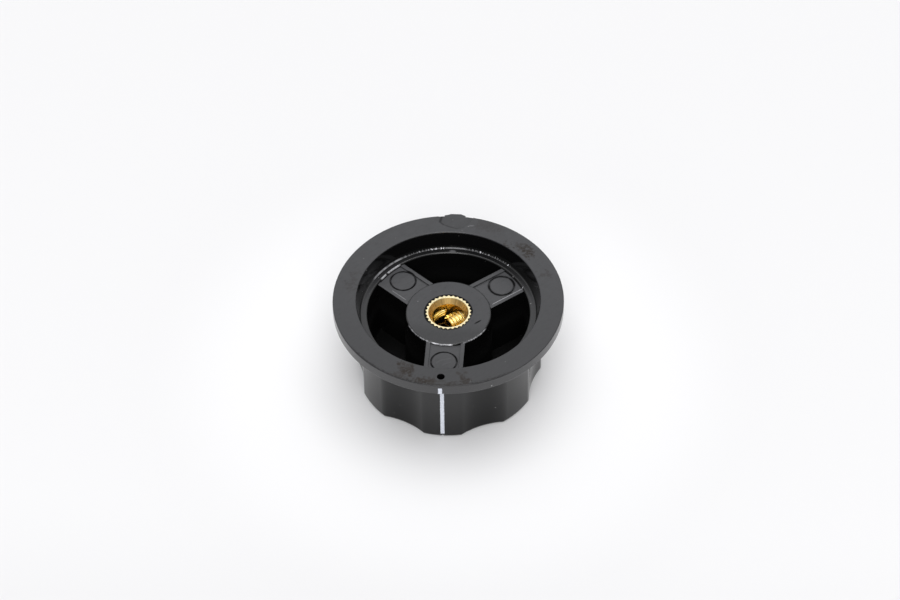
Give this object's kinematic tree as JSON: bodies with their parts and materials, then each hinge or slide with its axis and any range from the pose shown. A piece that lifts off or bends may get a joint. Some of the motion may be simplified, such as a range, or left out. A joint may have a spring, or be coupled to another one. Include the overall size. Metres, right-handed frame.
{
  "type": "thermostat knob",
  "caption": "Round fluted control knob with a skirt flange, a hollow ribbed underside and a knurled brass insert for a round shaft, held by a radial set screw.",
  "frame": {"origin": "centre of the crown face, which the knob lies on", "axes": "+Z along the shaft axis, out of the mouth of the bore; -Y towards the index mark"},
  "size_m": [0.045, 0.0457, 0.02],
  "materials": {
    "moulding": "satin black moulding, glossier in the recess, with handling marks on the flange",
    "insert_brass": "turned, bright at the countersink and in the bore",
    "screw_brass": "bright thread",
    "index_white": "white enamel laid in a groove"
  },
  "bodies": {
    "knob": {"knob_body": "moulding", "brass_insert": "insert_brass", "index_paint": "index_white"},
    "screw": {"set_screw": "screw_brass"}
  },
  "joints": [
    {"name": "set_screw_travel", "type": "slide", "parent": "knob", "child": "screw", "axis": [0.7818, 0.6235, 0], "range_m": [-0.0026, 0.0034]}
  ]
}
